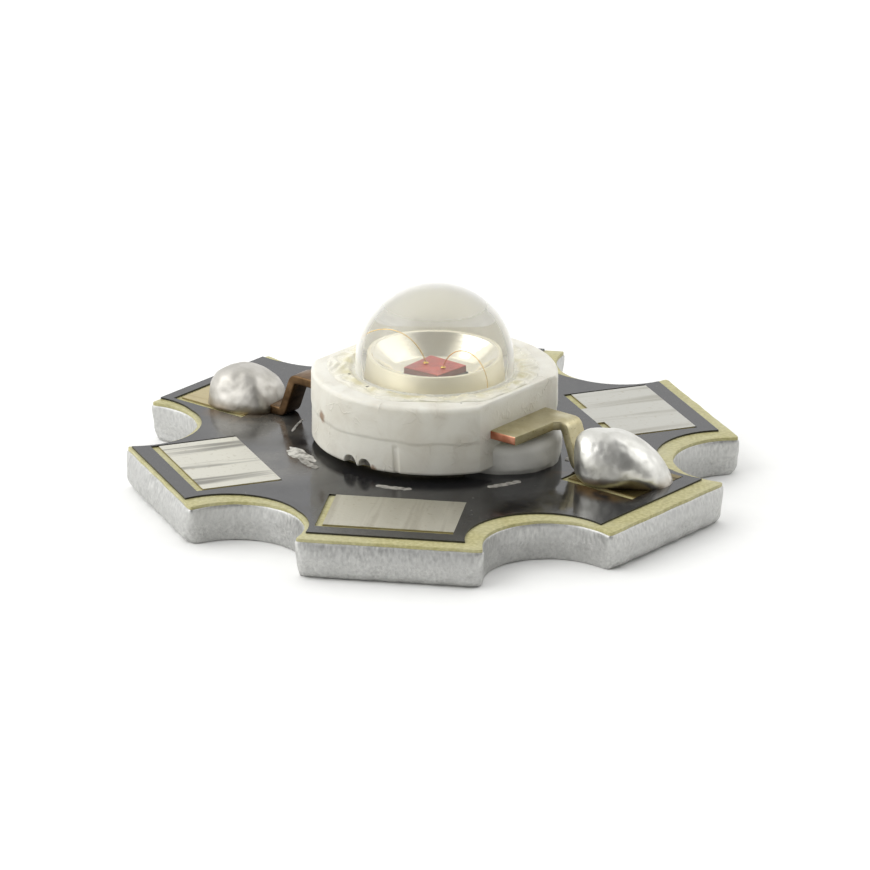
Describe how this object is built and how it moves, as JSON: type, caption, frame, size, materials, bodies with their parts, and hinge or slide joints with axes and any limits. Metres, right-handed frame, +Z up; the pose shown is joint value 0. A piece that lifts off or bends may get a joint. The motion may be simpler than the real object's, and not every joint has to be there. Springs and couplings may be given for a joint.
{
  "type": "star board power led",
  "caption": "Domed power light-emitting diode soldered by its two leads to a star-shaped aluminium-core board with tinned wire pads and round screw notches.",
  "frame": {"origin": "middle of the board's underside", "axes": "+Z up out of the lens, +X along the right-hand lead, +Y towards the back in the picture's sense"},
  "size_m": [0.0192, 0.0198, 0.0066],
  "materials": {
    "aluminium": "punched, matte",
    "dielectric": "bare insulating layer",
    "copper": "etched foil",
    "solder_mask": "glossy black mask",
    "white_ink": "screen printed",
    "tin": "dull tinned, streaked",
    "adhesive": "cured white paste",
    "slug": "silver plated",
    "body_resin": "moulded, satin",
    "lead_metal": "tarnished silver plate",
    "die_glue": "silver filled",
    "die": "red semiconductor",
    "gold": "drawn wire",
    "gel": "clear silicone",
    "lens": "clear moulded resin",
    "solder": "bright solder"
  },
  "bodies": {
    "root": {"base_plate": "aluminium", "dielectric_layer": "dielectric", "right_copper": "copper", "left_copper": "copper", "heat_land": "copper", "solder_mask": "solder_mask", "printed_dashes": "white_ink", "right_front_wire_pad": "tin", "right_back_wire_pad": "tin", "left_front_wire_pad": "tin", "left_back_wire_pad": "tin", "right_lead_pad": "tin", "left_lead_pad": "tin", "heat_adhesive": "adhesive", "heat_slug": "slug", "emitter_body": "body_resin", "right_lead": "lead_metal", "left_lead": "lead_metal", "die_glue": "die_glue", "led_die": "die", "right_bond_wire": "gold", "left_bond_wire": "gold", "clear_gel": "gel", "lens": "lens", "right_solder": "solder", "left_solder": "solder"}
  },
  "joints": []
}
